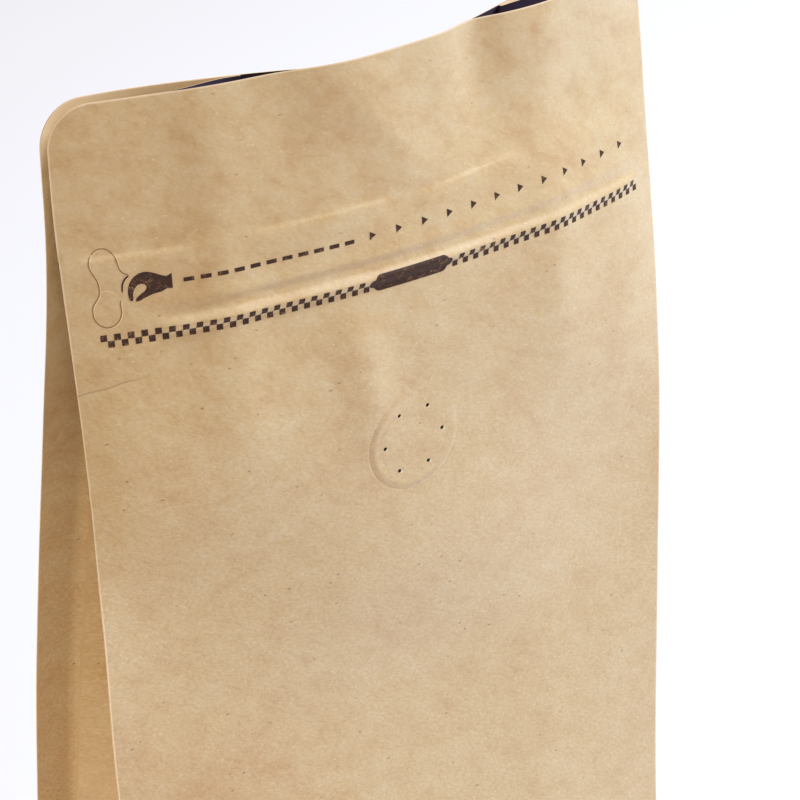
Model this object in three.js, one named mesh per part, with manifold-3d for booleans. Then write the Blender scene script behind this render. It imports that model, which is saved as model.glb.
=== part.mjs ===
// Coffee bag with a degassing valve: an empty box pouch of kraft laminate that stands on its flat bottom.
// Millimetres, +Z up, front panel towards -Y, origin at the centre of the bottom on the floor.
// Five webs are sealed edge to edge: front, back, two side gussets folded inwards and a bottom.
// "u" runs across a panel from its left edge, "h" runs down a panel from its cut top edge.
import * as THREE from "three";
import { mergeVertices } from "three/addons/utils/BufferGeometryUtils.js";
import Module from "manifold-3d";

const wasm = await Module();
wasm.setup();

// ---- driving dimensions ----
const PANEL_WIDTH = 135;
const PANEL_HEIGHT = 265;
const BOTTOM_DEPTH = 62;
const WEB = 0.3;
const LAYER_GAP = 0.25;
const SIDE_SEAL = 8;
const TOP_CORNER_R = 8;
const FOLD_WIDTH = 0.6;
const GUSSET_LEG = BOTTOM_DEPTH / 2 - 2 * WEB - LAYER_GAP;

// How far the four standing edges lie from the middle plane, at these depths below the top edge.
const EDGE_AT = [0, 30, 65, 100, 135, 200, PANEL_HEIGHT];
const FRONT_LEFT = [0.2, -2.4, -7.6, -12, -14.5, -22, -BOTTOM_DEPTH / 2];
const FRONT_RIGHT = [-4.7, -9, -14.4, -16.9, -18.2, -22, -BOTTOM_DEPTH / 2];
const BACK_LEFT = [2.2, 1, 5.4, 10.8, 15.7, 22, BOTTOM_DEPTH / 2];
const BACK_RIGHT = [5.5, 6.8, 9, 12.3, 15.9, 22, BOTTOM_DEPTH / 2];
// How far each panel bows forward of its edges: in the middle, as a lean to one side, as a flat middle.
const BOW_AT = [0, 20, 42, 75, 105, 140, 200, PANEL_HEIGHT];
const FRONT_BOW = [12, 11, 11, 7.7, 5.6, 0.6, 1.5, 0];
const FRONT_LEAN = [1.2, -0.7, 0.9, -2.7, -0.1, 0, 0, 0];
const FRONT_FLAT = [4.4, 0.9, 2.7, 6.1, -6.6, 0, 0, 0];
const BACK_BOW = [13.3, 7.7, 6.5, 3, 0.5, -1.5, -2, 0];
const BACK_LEAN = [4.3, 6, 0, 0, 0, 0, 0, 0];
const BACK_FLAT = [-8.9, 0.1, 0, 0, 0, 0, 0, 0];
const MOUTH_RIPPLE = -0.8;
const RIPPLE_FADE = 25;

// Closure strip, its rib in the front panel, and the valve.
const STRIP_TOP = 31;
const STRIP_BOTTOM = 47;
const STRIP_INSET = 12;
const STRIP_THICK = 0.35;
const STRIP_CLEARANCE = 2.2;
const RIB_AT = 41.6;
const RIB_HALF = 1.5;
const RIB_HEIGHT = 0.5;
const RIB_FADE_FROM = 22;
const RIB_FADE_TO = 30;
const VALVE_U = PANEL_WIDTH / 2;
const VALVE_H = 79.6;
const RING_R = 10.3;
const RING_HALF = 0.6;
const RING_HEIGHT = 0.3;
const PINHOLE_CIRCLE_R = 7;
const PINHOLE_R = 0.35;
const PINHOLES = 6;
const PINHOLE_START = THREE.MathUtils.degToRad(30);
const VALVE_R = 9.6;
const VALVE_FLANGE = 0.6;
const VALVE_BODY_R = 7.6;
const VALVE_THICK = 2.2;
const BOTTOM_FLANGE = 8;

// ---- small helpers ----
// A smooth curve through values given at stations.
function along(stations, values, x) {
  const last = stations.length - 1;
  let i = 0;
  while (i < last - 1 && x >= stations[i + 1]) i += 1;
  const slope = (a, b) => (values[b] - values[a]) / (stations[b] - stations[a]);
  const m0 = slope(Math.max(i - 1, 0), i + 1);
  const m1 = slope(i, Math.min(i + 2, last));
  const d = stations[i + 1] - stations[i];
  const t = (x - stations[i]) / d;
  const t2 = t * t;
  const t3 = t2 * t;
  return (
    (2 * t3 - 3 * t2 + 1) * values[i] +
    (t3 - 2 * t2 + t) * d * m0 +
    (3 * t2 - 2 * t3) * values[i + 1] +
    (t3 - t2) * d * m1
  );
}

const lerp = THREE.MathUtils.lerp;
const smoothstep = THREE.MathUtils.smoothstep;

// ---- the two big panels as curved surfaces that keep their length both ways ----
function frontY(u, h) {
  const s = (2 * u) / PANEL_WIDTH - 1;
  const q = 1 - s * s;
  const edges = lerp(along(EDGE_AT, FRONT_LEFT, h), along(EDGE_AT, FRONT_RIGHT, h), (s + 1) / 2);
  const bow = along(BOW_AT, FRONT_BOW, h);
  const lean = along(BOW_AT, FRONT_LEAN, h);
  const flat = along(BOW_AT, FRONT_FLAT, h);
  const turn = ((s + 1) / 2) * Math.PI;
  const ripple = MOUTH_RIPPLE * Math.exp(-h / RIPPLE_FADE) * (Math.sin(3 * turn) + Math.sin(4 * turn));
  return edges - q * (bow + lean * s + flat * s * s) - ripple;
}

function backY(u, h) {
  const s = (2 * u) / PANEL_WIDTH - 1;
  const q = 1 - s * s;
  const edges = lerp(along(EDGE_AT, BACK_LEFT, h), along(EDGE_AT, BACK_RIGHT, h), (s + 1) / 2);
  const bow = along(BOW_AT, BACK_BOW, h);
  const lean = along(BOW_AT, BACK_LEAN, h);
  const flat = along(BOW_AT, BACK_FLAT, h);
  return edges - q * (bow + lean * s + flat * s * s);
}

// Points one millimetre apart, so that any place on the panel can be looked up.
function surfaceOf(depthAt, inward) {
  const rows = [];
  for (let h = 0; h <= PANEL_HEIGHT; h += 1) {
    const row = [new THREE.Vector3(0, depthAt(0, h), 0)];
    for (let u = 1; u <= PANEL_WIDTH; u += 1) {
      const y = depthAt(u, h);
      const rise = y - row[u - 1].y;
      row.push(new THREE.Vector3(row[u - 1].x + Math.sqrt(1 - rise * rise), y, 0));
    }
    const middle = row[PANEL_WIDTH].x / 2;
    row.forEach((p) => (p.x -= middle));
    rows.push(row);
  }
  for (let h = PANEL_HEIGHT - 1; h >= 0; h -= 1) {
    for (let u = 0; u <= PANEL_WIDTH; u += 1) {
      const lean = rows[h][u].y - rows[h + 1][u].y;
      rows[h][u].z = rows[h + 1][u].z + Math.sqrt(1 - lean * lean);
    }
  }
  const at = (u, h) => {
    const i = Math.min(Math.floor(Math.max(u, 0)), PANEL_WIDTH - 1);
    const j = Math.min(Math.floor(Math.max(h, 0)), PANEL_HEIGHT - 1);
    const top = rows[j][i].clone().lerp(rows[j][i + 1], u - i);
    const low = rows[j + 1][i].clone().lerp(rows[j + 1][i + 1], u - i);
    return top.lerp(low, h - j);
  };
  const normal = (u, h) => {
    const u0 = THREE.MathUtils.clamp(u, 1.5, PANEL_WIDTH - 1.5);
    const h0 = THREE.MathUtils.clamp(h, 1.5, PANEL_HEIGHT - 1.5);
    const across = at(u0 + 1.5, h0).sub(at(u0 - 1.5, h0));
    const down = at(u0, h0 + 1.5).sub(at(u0, h0 - 1.5));
    return across.cross(down).normalize().multiplyScalar(inward);
  };
  // A point set in from the outer face by a depth; the lowest row stays on the floor.
  const inside = (u, h, depth) => {
    const n = normal(u, h);
    const p = at(u, h);
    if (h >= PANEL_HEIGHT) n.z = 0;
    return p.addScaledVector(n, depth);
  };
  return { at, normal, inside };
}

const front = surfaceOf(frontY, 1);
const back = surfaceOf(backY, -1);

// The rounded top corners cut a panel lower near its edges.
function topCut(u) {
  const fromEdge = Math.min(u, PANEL_WIDTH - u);
  if (fromEdge >= TOP_CORNER_R) return 0;
  const across = TOP_CORNER_R - fromEdge;
  return TOP_CORNER_R - Math.sqrt(TOP_CORNER_R * TOP_CORNER_R - across * across);
}

// ---- closed sheets ----
// Two equal grids of points, the outer and inner face, joined round their rims into one closed mesh.
function sheet(outer, inner) {
  const rows = outer.length;
  const cols = outer[0].length;
  const positions = [];
  const index = [];
  [outer, inner].forEach((grid) => grid.forEach((row) => row.forEach((p) => positions.push(p.x, p.y, p.z))));
  const o = (r, c) => r * cols + c;
  const n = (r, c) => rows * cols + r * cols + c;
  const quad = (a, b, c, d) => index.push(a, b, c, a, c, d);
  for (let r = 0; r < rows - 1; r += 1) {
    for (let c = 0; c < cols - 1; c += 1) {
      quad(o(r, c), o(r + 1, c), o(r + 1, c + 1), o(r, c + 1));
      quad(n(r, c), n(r, c + 1), n(r + 1, c + 1), n(r + 1, c));
    }
    quad(o(r, 0), n(r, 0), n(r + 1, 0), o(r + 1, 0));
    quad(o(r, cols - 1), o(r + 1, cols - 1), n(r + 1, cols - 1), n(r, cols - 1));
  }
  for (let c = 0; c < cols - 1; c += 1) {
    quad(o(0, c), o(0, c + 1), n(0, c + 1), n(0, c));
    quad(o(rows - 1, c), n(rows - 1, c), n(rows - 1, c + 1), o(rows - 1, c + 1));
  }
  const geometry = new THREE.BufferGeometry();
  geometry.setAttribute("position", new THREE.Float32BufferAttribute(positions, 3));
  geometry.setIndex(index);
  return geometry;
}

const flipped = (grid) => grid.map((row) => row.slice().reverse());

// ---- joining and cutting ----
function solidOf(geometry) {
  const bare = geometry.clone();
  bare.deleteAttribute("normal");
  bare.deleteAttribute("uv");
  const merged = mergeVertices(bare, 1e-4);
  return new wasm.Manifold(
    new wasm.Mesh({
      numProp: 3,
      vertProperties: merged.attributes.position.array,
      triVerts: new Uint32Array(merged.index.array),
    })
  );
}

function geometryOf(solid) {
  const mesh = solid.getMesh();
  const geometry = new THREE.BufferGeometry();
  geometry.setAttribute("position", new THREE.BufferAttribute(mesh.vertProperties, 3));
  geometry.setIndex(new THREE.BufferAttribute(mesh.triVerts, 1));
  return geometry;
}

// Places a shape made round the Y axis so that +Y points out of the front panel at (u, h).
function onFront(geometry, u, h, depth, side = 0, up = 0) {
  const out = front.normal(VALVE_U, VALVE_H).negate();
  const across = new THREE.Vector3(1, 0, 0).addScaledVector(out, -out.x).normalize();
  const rise = new THREE.Vector3().crossVectors(across, out).normalize();
  const place = front.at(u, h).addScaledVector(out, -depth);
  place.addScaledVector(across, side).addScaledVector(rise, up);
  const frame = new THREE.Matrix4().makeBasis(across, out, rise.clone());
  if (frame.determinant() < 0) frame.makeBasis(across, out, rise.clone().negate());
  frame.setPosition(place);
  return geometry.clone().applyMatrix4(frame);
}

// ---- station lists ----
function columns(middleSteps) {
  const corner = [0, 0.35, 1.3, 2.7, 4.4, 6.2, SIDE_SEAL];
  const half = corner.slice();
  for (let k = 1; k <= middleSteps; k += 1) {
    half.push(SIDE_SEAL + ((PANEL_WIDTH / 2 - SIDE_SEAL) * k) / middleSteps);
  }
  return half.concat(half.slice(0, -1).reverse().map((u) => PANEL_WIDTH - u));
}

const FRONT_ROWS = [0, 3, 8, 14, 20, 26, 32, 37, RIB_AT - RIB_HALF, RIB_AT - RIB_HALF / 2, RIB_AT].concat(
  [RIB_AT + RIB_HALF / 2, RIB_AT + RIB_HALF, 48, 55, 63, 71, 79, 87, 95, 104, 113, 123, 134, 146],
  [160, 175, 190, 206, 222, 238, 252, PANEL_HEIGHT]
);
const BACK_ROWS = [0, 4, 10, 18, 28, 40, 54, 70, 88, 108, 130, 155, 180, 205, 230, 250, PANEL_HEIGHT];

// How far the closure strip behind the front panel pushes it out.
function rib(u, h) {
  const across = Math.max(0, 1 - Math.abs(h - RIB_AT) / RIB_HALF);
  return RIB_HEIGHT * across * smoothstep(u, RIB_FADE_FROM, RIB_FADE_TO);
}

function panelGrid(surface, us, hs, depth, relief) {
  return hs.map((row) =>
    us.map((u) => {
      const cut = topCut(u);
      const h = cut + (row * (PANEL_HEIGHT - cut)) / PANEL_HEIGHT;
      return surface.inside(u, h, depth - (relief ? relief(u, row) : 0));
    })
  );
}

// ---- front panel ----
function frontPanel() {
  const us = columns(9);
  const outer = panelGrid(front, us, FRONT_ROWS, 0, rib);
  const inner = panelGrid(front, us, FRONT_ROWS, WEB, rib);
  let solid = solidOf(sheet(outer, inner));
  const profile = [
    [RING_R - RING_HALF, -0.25],
    [RING_R + RING_HALF, -0.25],
    [RING_R + RING_HALF, 0.08],
    [RING_R + RING_HALF / 2, RING_HEIGHT],
    [RING_R - RING_HALF / 2, RING_HEIGHT],
    [RING_R - RING_HALF, 0.08],
    [RING_R - RING_HALF, -0.25],
  ].map(([r, y]) => new THREE.Vector2(r, y));
  const ring = new THREE.LatheGeometry(profile, 40);
  solid = solid.add(solidOf(onFront(ring, VALVE_U, VALVE_H, 0)));
  for (let k = 0; k < PINHOLES; k += 1) {
    const turn = PINHOLE_START + (k * 2 * Math.PI) / PINHOLES;
    const drill = new THREE.CylinderGeometry(PINHOLE_R, PINHOLE_R, 3, 8);
    const side = PINHOLE_CIRCLE_R * Math.sin(turn);
    const up = PINHOLE_CIRCLE_R * Math.cos(turn);
    solid = solid.subtract(solidOf(onFront(drill, VALVE_U, VALVE_H, 0, side, up)));
  }
  return geometryOf(solid);
}

// ---- back panel ----
function backPanel() {
  const us = columns(6);
  const outer = panelGrid(back, us, BACK_ROWS, 0);
  const inner = panelGrid(back, us, BACK_ROWS, WEB);
  return sheet(flipped(outer), flipped(inner));
}

// ---- side gussets ----
const GUSSET_ROWS = [0, 5, 12, 18, 24, 30, 36, 42, 48, 55, 64, 76, 90, 106, 122, 140, 158, 176, 192, 206, 220].concat([
  PANEL_HEIGHT - GUSSET_LEG,
  PANEL_HEIGHT - 22,
  PANEL_HEIGHT - 14,
  PANEL_HEIGHT - 6,
  PANEL_HEIGHT,
]);
const LEG_STEPS = 5;
const FACET_STEPS = 2;
const LEAST_DEPTH = 1.2;
const LEAST_SHARE = 0.02;

// One level of a gusset, from the front edge in to the fold and out to the back edge.
function gussetLevel(row, mirrored) {
  const across = (u) => (mirrored ? PANEL_WIDTH - u : u);
  const strip = 2 * WEB + LAYER_GAP;
  const kraft = [];
  const fins = [0, 0.35, 1.3, 2.7, 4.4, 6.2];
  const level = (u) => topCut(u) + (row * (PANEL_HEIGHT - topCut(u))) / PANEL_HEIGHT;
  const facing = (u) => [front.inside(across(u), level(u), strip), back.inside(across(u), level(u), strip)];
  const [a, b] = facing(SIDE_SEAL);
  const fromFloor = PANEL_HEIGHT - row;
  const spread = a.distanceTo(b) / 2;
  const vDepth = (half) => Math.sqrt(Math.max(GUSSET_LEG * GUSSET_LEG - half * half, 0));
  const creaseRow = PANEL_HEIGHT - GUSSET_LEG;
  const creaseSpread = front
    .inside(across(SIDE_SEAL), creaseRow, strip)
    .distanceTo(back.inside(across(SIDE_SEAL), creaseRow, strip));
  const flat = Math.min(fromFloor / GUSSET_LEG, 1);
  const depth = flat < 1 ? Math.max(vDepth(creaseSpread / 2) * flat, LEAST_DEPTH) : vDepth(spread);
  // At the mouth the fold lies near the back panel, lower down it lies half way.
  const foldShare = lerp(0.78, 0.5, smoothstep(row, 0, 90));
  const power = lerp(1.6, 1, smoothstep(row, 0, 90));
  const [c, d] = facing(SIDE_SEAL + depth);
  const halfFold = FOLD_WIDTH / 2 / c.distanceTo(d);
  const nearShare = flat < 1 ? lerp(LEAST_SHARE, foldShare - halfFold, flat) : foldShare - halfFold;
  const farShare = flat < 1 ? lerp(1 - LEAST_SHARE, foldShare + halfFold, flat) : foldShare + halfFold;
  const leg = (k, share) => {
    const along01 = k / LEG_STEPS;
    const [p, q] = facing(SIDE_SEAL + depth * along01);
    return p.lerp(q, share(Math.pow(along01, power)));
  };
  // The closure strip lies under the front leg and holds it off the front panel.
  const beside = smoothstep(row, STRIP_TOP - 8, STRIP_TOP) * (1 - smoothstep(row, STRIP_BOTTOM, STRIP_BOTTOM + 10));
  const lift = (STRIP_CLEARANCE * beside) / a.distanceTo(b);
  const lifted = (t) => nearShare * t + lift * smoothstep(t, 0, 0.1) * (1 - t);
  fins.forEach((u) => kraft.push(facing(u)[0]));
  for (let k = 0; k <= LEG_STEPS; k += 1) kraft.push(leg(k, lifted));
  for (let k = 1; k < FACET_STEPS; k += 1) {
    kraft.push(c.clone().lerp(d, lerp(nearShare, farShare, k / FACET_STEPS)));
  }
  for (let k = LEG_STEPS; k >= 0; k -= 1) kraft.push(leg(k, (t) => 1 - (1 - farShare) * t));
  fins.slice().reverse().forEach((u) => kraft.push(facing(u)[1]));
  return kraft;
}

// The lining side of a gusset: every point moved square to the fold line by the web's thickness.
function liningOf(kraft, mirrored) {
  const side = mirrored ? 1 : -1;
  return kraft.map((p, i) => {
    const before = kraft[Math.max(i - 1, 0)];
    const after = kraft[Math.min(i + 1, kraft.length - 1)];
    const d0 = new THREE.Vector2(p.x - before.x, p.y - before.y);
    const d1 = new THREE.Vector2(after.x - p.x, after.y - p.y);
    if (d0.lengthSq() < 1e-9) d0.copy(d1);
    if (d1.lengthSq() < 1e-9) d1.copy(d0);
    const mean = d0.normalize().clone().add(d1.normalize()).normalize();
    const reach = Math.min(1 / Math.max(mean.dot(d0), 0.5), 1.6);
    return new THREE.Vector3(p.x - side * mean.y * WEB * reach, p.y + side * mean.x * WEB * reach, p.z);
  });
}

function gusset(mirrored) {
  const kraft = GUSSET_ROWS.map((row) => gussetLevel(row, mirrored));
  const lining = kraft.map((level) => liningOf(level, mirrored));
  return mirrored ? sheet(kraft, lining) : sheet(flipped(kraft), flipped(lining));
}

// ---- closure strip sealed to the inside of the front panel ----
function closureStrip() {
  const rows = [STRIP_TOP, 35, 39, RIB_AT - 1.2, RIB_AT - 0.8, RIB_AT, RIB_AT + 0.8, RIB_AT + 1.2, STRIP_BOTTOM];
  const us = [];
  const steps = 22;
  for (let k = 0; k <= steps; k += 1) us.push(lerp(STRIP_INSET, PANEL_WIDTH - STRIP_INSET, k / steps));
  const face = (u, h) => WEB + LAYER_GAP - rib(u, h);
  const bead = (h) => (Math.abs(h - RIB_AT) < 1 ? 1 : 0);
  const outer = rows.map((h) => us.map((u) => front.inside(u, h, face(u, h))));
  const inner = rows.map((h) => us.map((u) => front.inside(u, h, face(u, h) + STRIP_THICK + bead(h))));
  return sheet(outer, inner);
}

// ---- valve sealed behind the pinholes ----
function valve() {
  const profile = [
    [0, -WEB - 0.4],
    [0, -WEB - 0.4 - VALVE_THICK],
    [VALVE_BODY_R - 0.4, -WEB - 0.4 - VALVE_THICK],
    [VALVE_BODY_R, -WEB - 0.8 - VALVE_FLANGE],
    [VALVE_BODY_R + 0.2, -WEB - 0.4 - VALVE_FLANGE],
    [VALVE_R, -WEB - 0.4 - VALVE_FLANGE],
    [VALVE_R, -WEB - 0.4],
    [0, -WEB - 0.4],
  ].map(([r, y]) => new THREE.Vector2(r, y));
  const lathe = new THREE.LatheGeometry(profile, 32);
  return onFront(lathe, VALVE_U, VALVE_H, 0);
}

// ---- bottom web: a flat floor with a flange turned up inside the front and back panels ----
function bottomWeb() {
  const halfDepth = BOTTOM_DEPTH / 2 - WEB - LAYER_GAP - 0.15;
  const halfWidth = PANEL_WIDTH / 2 - SIDE_SEAL - 2;
  const floor = new THREE.BoxGeometry(2 * halfWidth, 2 * halfDepth, WEB);
  floor.translate(0, 0, WEB / 2);
  const leanAt = (surface) => {
    const low = surface.at(PANEL_WIDTH / 2, PANEL_HEIGHT);
    const high = surface.at(PANEL_WIDTH / 2, PANEL_HEIGHT - BOTTOM_FLANGE);
    return Math.abs(low.y - high.y) + 0.25;
  };
  let solid = solidOf(floor);
  [[-1, front], [1, back]].forEach(([side, surface]) => {
    const lean = leanAt(surface);
    const outline = new THREE.Shape();
    outline.moveTo(side * halfDepth, 0);
    outline.lineTo(side * (halfDepth - lean), BOTTOM_FLANGE);
    outline.lineTo(side * (halfDepth - lean - WEB), BOTTOM_FLANGE);
    outline.lineTo(side * (halfDepth - WEB), 0);
    const length = 2 * (halfWidth - 4);
    const flange = new THREE.ExtrudeGeometry(outline, { depth: length, bevelEnabled: false });
    flange.translate(0, 0, -length / 2);
    flange.rotateX(Math.PI / 2);
    flange.rotateZ(Math.PI / 2);
    solid = solid.add(solidOf(flange));
  });
  return geometryOf(solid);
}

// ---- the bag ----
const kraftPaper = () => new THREE.MeshStandardMaterial({ color: 0xc8aa80, roughness: 0.85, metalness: 0 });
const clearFilm = new THREE.MeshStandardMaterial({ color: 0xd9dade, roughness: 0.35, metalness: 0 });
const valvePlastic = new THREE.MeshStandardMaterial({ color: 0xe6e6e2, roughness: 0.45, metalness: 0 });

function piece(name, geometry, material) {
  geometry.computeVertexNormals();
  const mesh = new THREE.Mesh(geometry, material);
  mesh.name = name;
  return mesh;
}

const bag = new THREE.Group();
bag.add(piece("front_panel", frontPanel(), kraftPaper()));
bag.add(piece("back_panel", backPanel(), kraftPaper()));
bag.add(piece("gusset_left", gusset(false), kraftPaper()));
bag.add(piece("gusset_right", gusset(true), kraftPaper()));
bag.add(piece("bottom_web", bottomWeb(), kraftPaper()));
bag.add(piece("closure_strip", closureStrip(), clearFilm));
bag.add(piece("valve", valve(), valvePlastic));

export default bag;
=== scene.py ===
"""Coffee bag with a degassing valve: the dressed model. Metres, Z up, front panel towards -Y."""

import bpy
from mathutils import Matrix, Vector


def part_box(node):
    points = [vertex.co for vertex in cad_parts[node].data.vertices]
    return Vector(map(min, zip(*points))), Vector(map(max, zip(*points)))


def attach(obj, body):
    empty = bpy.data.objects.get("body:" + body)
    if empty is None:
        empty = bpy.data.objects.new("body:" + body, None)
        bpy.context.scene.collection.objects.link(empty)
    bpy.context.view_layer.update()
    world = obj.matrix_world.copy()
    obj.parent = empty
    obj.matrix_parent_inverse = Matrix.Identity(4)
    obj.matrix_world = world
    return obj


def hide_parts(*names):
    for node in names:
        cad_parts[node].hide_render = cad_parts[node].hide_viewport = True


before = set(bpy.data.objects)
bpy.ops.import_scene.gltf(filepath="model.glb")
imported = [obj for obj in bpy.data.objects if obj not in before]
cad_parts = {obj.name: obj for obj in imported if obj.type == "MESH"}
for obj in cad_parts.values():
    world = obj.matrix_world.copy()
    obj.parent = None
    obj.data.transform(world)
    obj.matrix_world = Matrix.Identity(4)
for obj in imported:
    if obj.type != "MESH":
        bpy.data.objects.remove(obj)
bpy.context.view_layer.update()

import math

import bmesh
import bpy
import numpy as np
from mathutils import Matrix, Vector

MM = 0.001

# ---- the bag's driving sizes, in millimetres, as in the solids ----
PANEL_WIDTH = 135
PANEL_HEIGHT = 265
BOTTOM_DEPTH = 62
SOLID_WEB = 0.3
LAYER_GAP = 0.25
SIDE_SEAL = 8
TOP_CORNER_R = 8
GUSSET_LEG = BOTTOM_DEPTH / 2 - 2 * SOLID_WEB - LAYER_GAP
WEB = 0.14
# A gusset's kraft face lies this deep behind the big webs' outer faces where it is sealed to them.
SEALED_AT = 0.3
GUSSET_FIN_AT = 2 * GUSSET_LEG + SIDE_SEAL

EDGE_AT = [0, 30, 65, 100, 135, 200, 265]
FRONT_LEFT = [0.2, -2.4, -7.6, -12, -14.5, -22, -31]
FRONT_RIGHT = [-4.7, -9, -14.4, -16.9, -18.2, -22, -31]
BACK_LEFT = [2.2, 1, 5.4, 10.8, 15.7, 22, 31]
BACK_RIGHT = [5.5, 6.8, 9, 12.3, 15.9, 22, 31]
BOW_AT = [0, 20, 42, 75, 105, 140, 200, 265]
FRONT_BOW = [12, 11, 11, 7.7, 5.6, 0.6, 1.5, 0]
FRONT_LEAN = [1.2, -0.7, 0.9, -2.7, -0.1, 0, 0, 0]
FRONT_FLAT = [4.4, 0.9, 2.7, 6.1, -6.6, 0, 0, 0]
BACK_BOW = [13.3, 7.7, 6.5, 3, 0.5, -1.5, -2, 0]
BACK_LEAN = [4.3, 6, 0, 0, 0, 0, 0, 0]
BACK_FLAT = [-8.9, 0.1, 0, 0, 0, 0, 0, 0]
MOUTH_RIPPLE = -0.8
RIPPLE_FADE = 25

STRIP_TOP = 28.6
STRIP_BOTTOM = 47
STRIP_INSET = 12
STRIP_CLEARANCE = 2.2
RIB_AT = 43.4
RIB_HALF = 1.85
RIB_HEIGHT = 1.0
RIB_TROUGH = 0.22
RIDGE_HEIGHT = 0.3
STRIP_RELIEF = 0.12
DISC_RELIEF = 0.05
VALVE_U = 67.7
VALVE_H = 79.6
RING_R = 9.5
RING_HALF = 1.5
RING_HEIGHT = 0.17
RING_GROOVE_R = 10.75
PINHOLE_CIRCLE_R = 7
PINHOLE_R = 0.42
PINHOLES = 6
PINHOLE_TURNS = [math.radians(30 + k * 360 / PINHOLES) for k in range(PINHOLES)]
CREASE_AT = 54.4
CREASE_SLOPE = 0.17
CREASE_PUSH = 0.6
CREASE_NOTCH = 0.12
SECOND_CREASE_AT = 48.6
SECOND_CREASE_SLOPE = 0.06
# Radius of the painted shade ring round the valve.
SHADE_RING_R = 10.0
# Offset of the painted highlight beside each pinhole.
PINHOLE_HIGHLIGHT_OFFSET = (0.42, 0.3)


# ---- curved panels ----
def along(stations, values, x):
    """A smooth curve through values given at stations."""
    st = np.asarray(stations, float)
    va = np.asarray(values, float)
    slope = np.empty_like(va)
    slope[1:-1] = (va[2:] - va[:-2]) / (st[2:] - st[:-2])
    slope[0] = (va[1] - va[0]) / (st[1] - st[0])
    slope[-1] = (va[-1] - va[-2]) / (st[-1] - st[-2])
    i = np.clip(np.searchsorted(st, x, side="right") - 1, 0, len(st) - 2)
    d = st[i + 1] - st[i]
    t = (x - st[i]) / d
    return (
        (2 * t**3 - 3 * t**2 + 1) * va[i]
        + (t**3 - 2 * t**2 + t) * d * slope[i]
        + (3 * t**2 - 2 * t**3) * va[i + 1]
        + (t**3 - t**2) * d * slope[i + 1]
    )


def smoothstep(x, low, high):
    t = np.clip((np.asarray(x, float) - low) / (high - low), 0, 1)
    return t * t * (3 - 2 * t)


class Panel:
    """A big panel as a surface that keeps its length both across (u) and down (h)."""

    def __init__(self, left, right, bow, lean, flat, ripple, inward):
        u = np.arange(PANEL_WIDTH + 1.0)
        h = np.arange(PANEL_HEIGHT + 1.0)
        s = 2 * u / PANEL_WIDTH - 1
        q = 1 - s * s
        at_left = along(EDGE_AT, left, h)[:, None]
        at_right = along(EDGE_AT, right, h)[:, None]
        shape = along(BOW_AT, bow, h)[:, None] + along(BOW_AT, lean, h)[:, None] * s
        shape = shape + along(BOW_AT, flat, h)[:, None] * s * s
        y = at_left * (1 - s) / 2 + at_right * (1 + s) / 2 - q * shape
        turn = (s + 1) / 2 * math.pi
        waves = np.sin(3 * turn) + np.sin(4 * turn)
        y = y - ripple * np.exp(-h / RIPPLE_FADE)[:, None] * waves
        across = np.sqrt(1 - np.diff(y, axis=1) ** 2)
        x = np.concatenate([np.zeros((len(h), 1)), np.cumsum(across, axis=1)], axis=1)
        x = x - x[:, -1:] / 2
        down = np.sqrt(1 - np.diff(y, axis=0) ** 2)
        z = np.concatenate([np.cumsum(down[::-1], axis=0)[::-1], np.zeros((1, len(u)))])
        self.grid = np.stack([x, y, z], -1)
        self.inward = inward

    def at(self, u, h):
        u, h = np.broadcast_arrays(np.asarray(u, float), np.asarray(h, float))
        i = np.clip(np.floor(u).astype(int), 0, PANEL_WIDTH - 1)
        j = np.clip(np.floor(h).astype(int), 0, PANEL_HEIGHT - 1)
        a = (u - i)[..., None]
        b = (h - j)[..., None]
        g = self.grid
        top = g[j, i] * (1 - a) + g[j, i + 1] * a
        low = g[j + 1, i] * (1 - a) + g[j + 1, i + 1] * a
        return top * (1 - b) + low * b

    def normal(self, u, h):
        """Unit vector into the bag."""
        u0 = np.clip(u, 1.5, PANEL_WIDTH - 1.5)
        h0 = np.clip(h, 1.5, PANEL_HEIGHT - 1.5)
        across = self.at(u0 + 1.5, h0) - self.at(u0 - 1.5, h0)
        down = self.at(u0, h0 + 1.5) - self.at(u0, h0 - 1.5)
        n = np.cross(across, down) * self.inward
        return n / np.linalg.norm(n, axis=-1, keepdims=True)

    def inside(self, u, h, depth):
        """The point that lies a depth in from the outer face; the lowest row stays on the floor."""
        n = self.normal(u, h)
        flat = np.asarray(h)[..., None] >= PANEL_HEIGHT - 0.01
        n = np.where(flat, n * np.array([1, 1, 0]), n)
        return self.at(u, h) + n * np.asarray(depth)[..., None]


front = Panel(FRONT_LEFT, FRONT_RIGHT, FRONT_BOW, FRONT_LEAN, FRONT_FLAT, MOUTH_RIPPLE, 1)
back = Panel(BACK_LEFT, BACK_RIGHT, BACK_BOW, BACK_LEAN, BACK_FLAT, 0, -1)


def top_cut(u):
    """How much lower the rounded top corner cuts the panel at u."""
    from_edge = np.clip(np.minimum(u, PANEL_WIDTH - u), 0, TOP_CORNER_R)
    across = TOP_CORNER_R - from_edge
    return TOP_CORNER_R - np.sqrt(TOP_CORNER_R**2 - across**2)


def segment_distance(u, h, a, b):
    """Distance from (u, h) to a straight line between two points, and how far along it."""
    du, dh = b[0] - a[0], b[1] - a[1]
    t = np.clip(((u - a[0]) * du + (h - a[1]) * dh) / (du * du + dh * dh), 0, 1)
    return np.hypot(u - a[0] - t * du, h - a[1] - t * dh), t


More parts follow.
